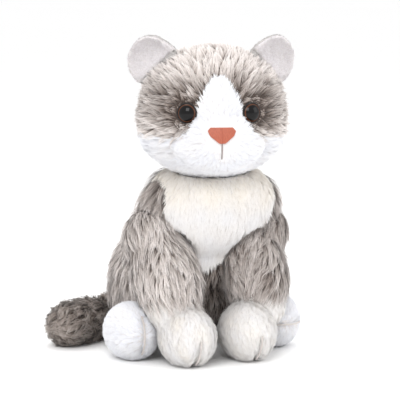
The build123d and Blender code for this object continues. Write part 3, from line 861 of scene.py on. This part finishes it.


# Front legs. Each is a round-shouldered sleeve of long grey plush that ends in a ragged hem over a
# short broad paw of white plush, pinched in at the front along one toe line.
leg_cell = 0.0022
paw_cream = 0.55
for side, seed in (("left", 61), ("right", 65)):
    leg_panels = ["sleeve_" + side, "paw_skin_" + side]
    leg_form = stuffed_form(
        "front_leg_" + side + "_cushion", leg_panels + ["front_leg_stuffing_" + side], leg_cell)
    paw_low, paw_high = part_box("paw_skin_" + side)
    shoulder = np.array(joints["front_leg_lift_" + side]["pos_m"])
    toe_low, toe_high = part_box("toe_stitch_" + side)
    toe_line = (toe_low.x + toe_high.x) / 2
    paw_middle = np.array((toe_line, toe_high.y + 0.022, 0.022))
    points = points_of(leg_form)
    apart = points - paw_middle
    front = np.clip((-apart[:, 1] - 0.004) / 0.014, 0, 1) * np.clip((0.034 - points[:, 2]) / 0.02, 0, 1)
    pinch = np.exp(-((points[:, 0] - toe_line) / 0.0032) ** 2) * 0.0045
    points -= unit(apart) * (front * pinch)[:, None]
    ankle = np.exp(-((points[:, 2] - 0.05) / 0.011) ** 2) * np.clip((-0.06 - points[:, 1]) / 0.02, 0, 1)
    points[:, 0] -= (points[:, 0] - toe_line) * 0.07 * ankle
    move_points(leg_form, points)
    leg_cloth = cloth_of(leg_form, leg_panels, {leg_panels[0]: grey_backing, leg_panels[1]: white_backing})
    leg_run = unit((np.array((toe_line, (paw_low.y + paw_high.y) / 2, 0.02)) - shoulder)[None])[0]
    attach(leg_form, "front_leg_" + side)
    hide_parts("front_leg_stuffing_" + side)

    def down_the_leg(points):
        """Brushed down the leg and fanned out to both sides of its front."""
        apart = points - shoulder
        beside = apart - np.outer(apart @ leg_run, leg_run)
        return leg_run + 14.0 * beside + 0.3 * drift(points, 0.04, 71)[:, None] * np.array((1, 0, 0))

    def sleeve_tone(points):
        """The left sleeve, in the shade of the chest, is the darker one."""
        base = 0.45 if side == "left" else 0.68
        return base + 0.2 * drift(points, 0.03, 72)

    sleeve = grow_pile("sleeve_" + side + "_plush", leg_cloth, leg_panels[0], down_the_leg, sleeve_tone,
                       lambda p: np.full(len(p), 0.017), grey_fibre, 90, 0.2, seed=seed)
    sleeve.data.materials.append(grey_pile)
    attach(sleeve, "front_leg_" + side)
    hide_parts(leg_panels[0])

    paw = grow_pile("paw_" + side + "_plush", leg_cloth, leg_panels[1],
                    lambda p: np.array((0, -0.35, -1.0)) + 8.0 * (p - paw_middle) * np.array((1, 1, 0)),
                    lambda p: paw_cream + 0.12 * drift(p, 0.03, 73),
                    lambda p: np.full(len(p), 0.0065), white_fibre, 400, 0.25,
                    lock=0.0024, gather=0.2, steps=2, ruffle=0.3, seed=seed + 1)
    paw.data.materials.append(white_pile)
    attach(paw, "front_leg_" + side)
    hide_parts(leg_panels[1])

    toe = frame["nodes"]["toe_stitch_" + side]
    toe.data.materials.clear()
    toe.data.materials.append(pale_thread)


# Hind feet. Two round cushions of cool white plush that stick out beside the paws. One line of
# stitching across the toes is pulled tight, upright on one foot and level on the other.
foot_cell = 0.0022
for side, seed in (("left", 81), ("right", 83)):
    foot_form = stuffed_form(
        "hind_foot_" + side + "_cushion", ["foot_skin_" + side, "foot_stuffing_" + side], foot_cell)
    stitch_low, stitch_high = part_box("foot_stitch_" + side)
    stitch = np.array((stitch_low + stitch_high) / 2)
    foot_middle = stitch + np.array((0, 0.028, 0))
    points = points_of(foot_form)
    apart = points - foot_middle
    across = points[:, 2] - stitch[2] if side == "left" else points[:, 0] - stitch[0]
    reach = points[:, 0] - stitch[0] if side == "left" else points[:, 2] - stitch[2]
    front = np.clip((-apart[:, 1] - 0.002) / 0.012, 0, 1) * np.clip((0.02 - np.abs(reach)) / 0.006, 0, 1)
    points -= unit(apart) * (front * np.exp(-(across / 0.0024) ** 2) * 0.0022)[:, None]
    move_points(foot_form, points)
    foot_cloth = cloth_of(foot_form, ["foot_skin_" + side], {"foot_skin_" + side: white_backing})
    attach(foot_form, "hind_foot_" + side)
    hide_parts("foot_stuffing_" + side)
    foot = grow_pile("foot_" + side + "_plush", foot_cloth, "foot_skin_" + side,
                     lambda p: p - stitch + np.array((0, -0.01, 0)), lambda p: 0.1 + 0.1 * drift(p, 0.03, 74),
                     lambda p: np.full(len(p), 0.0055), white_fibre, 400, 0.25,
                     lock=0.0024, gather=0.2, steps=2, ruffle=0.3, seed=seed)
    foot.data.materials.append(white_pile)
    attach(foot, "hind_foot_" + side)
    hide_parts("foot_skin_" + side)
    toe = frame["nodes"]["foot_stitch_" + side]
    toe.data.materials.clear()
    toe.data.materials.append(pale_thread)


# Tail. Two lengths of stuffed tube in the darkest plush, lying on the floor and curling round to the
# toy's right. The pile is brushed towards the blunt end and has gone curly from handling.
tail_cell = 0.0022
tail_radius = 0.019
tail_pile = pile_finish("tail_pile",
                        ((44, 36, 31), (98, 86, 78), (166, 154, 145)),
                        ((92, 80, 72), (166, 154, 146), (214, 205, 199)))
tail_root = np.array(joints["tail_swing"]["pos_m"])
tail_bend = np.array(joints["tail_curl"]["pos_m"])
tip_low, tip_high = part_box("tail_tip_skin")
tail_end = np.array((tip_low.x + tail_radius, tip_low.y + tail_radius, tail_radius))
for part, start, end, seed in (
    ("tail_base", tail_root, tail_bend, 91), ("tail_tip", tail_bend, tail_end, 92),
):
    tail_form = stuffed_form(part + "_cushion", [part + "_skin", part + "_stuffing"], tail_cell)
    tail_cloth = cloth_of(tail_form, [part + "_skin"], {part + "_skin": dark_backing})
    run = unit((end - start)[None])[0]
    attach(tail_form, part)
    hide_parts(part + "_stuffing")

    def along_the_tail(points):
        """Brushed along the tail, with close swirls."""
        swirl = np.stack([drift(points, 0.025, 93), drift(points, 0.025, 94), drift(points, 0.025, 95)], 1)
        return run + 0.5 * swirl

    tail = grow_pile(part + "_plush", tail_cloth, part + "_skin", along_the_tail,
                     lambda p: 0.5 + 0.3 * drift(p, 0.018, 96), lambda p: np.full(len(p), 0.0125),
                     grey_fibre, 95, 0.28, lock=0.0034, gather=0.7, stray=0.35, seed=seed)
    tail.data.materials.append(tail_pile)
    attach(tail, part)
    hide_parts(part + "_skin")


# Inside and behind. A cotton bag of plastic pellets low in the body keeps it sitting, a ladder of hand
# stitches closes the back, and a blank satin care label is caught in the seam beside it.
# The second colour of each of these finishes is painted shade in its gaps, such as between the pellets.
pellet_cover = cloth_finish("pellet_cotton", (222, 214, 200), (190, 180, 165), per_metre=1400)
pellet_grain = cloth_finish(
    "pellet_grain", (232, 232, 228), (180, 180, 178), per_metre=320, rough=0.35, relief=0.001)
washer_grain = cloth_finish(
    "washer_plastic", (206, 206, 206), (188, 188, 190), per_metre=700, rough=0.4, relief=0.00002)
label_satin = cloth_finish(
    "label_satin", (246, 246, 244), (226, 226, 224), per_metre=2600, rough=0.35, relief=0.00005)
for node, finish in (
    ("pellet_bag", pellet_cover), ("pellets", pellet_grain), ("eye_washer_left", washer_grain),
    ("eye_washer_right", washer_grain), ("closing_stitches", line_thread), ("care_label", label_satin),
):
    frame["nodes"][node].data.materials.clear()
    frame["nodes"][node].data.materials.append(finish)

low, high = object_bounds()
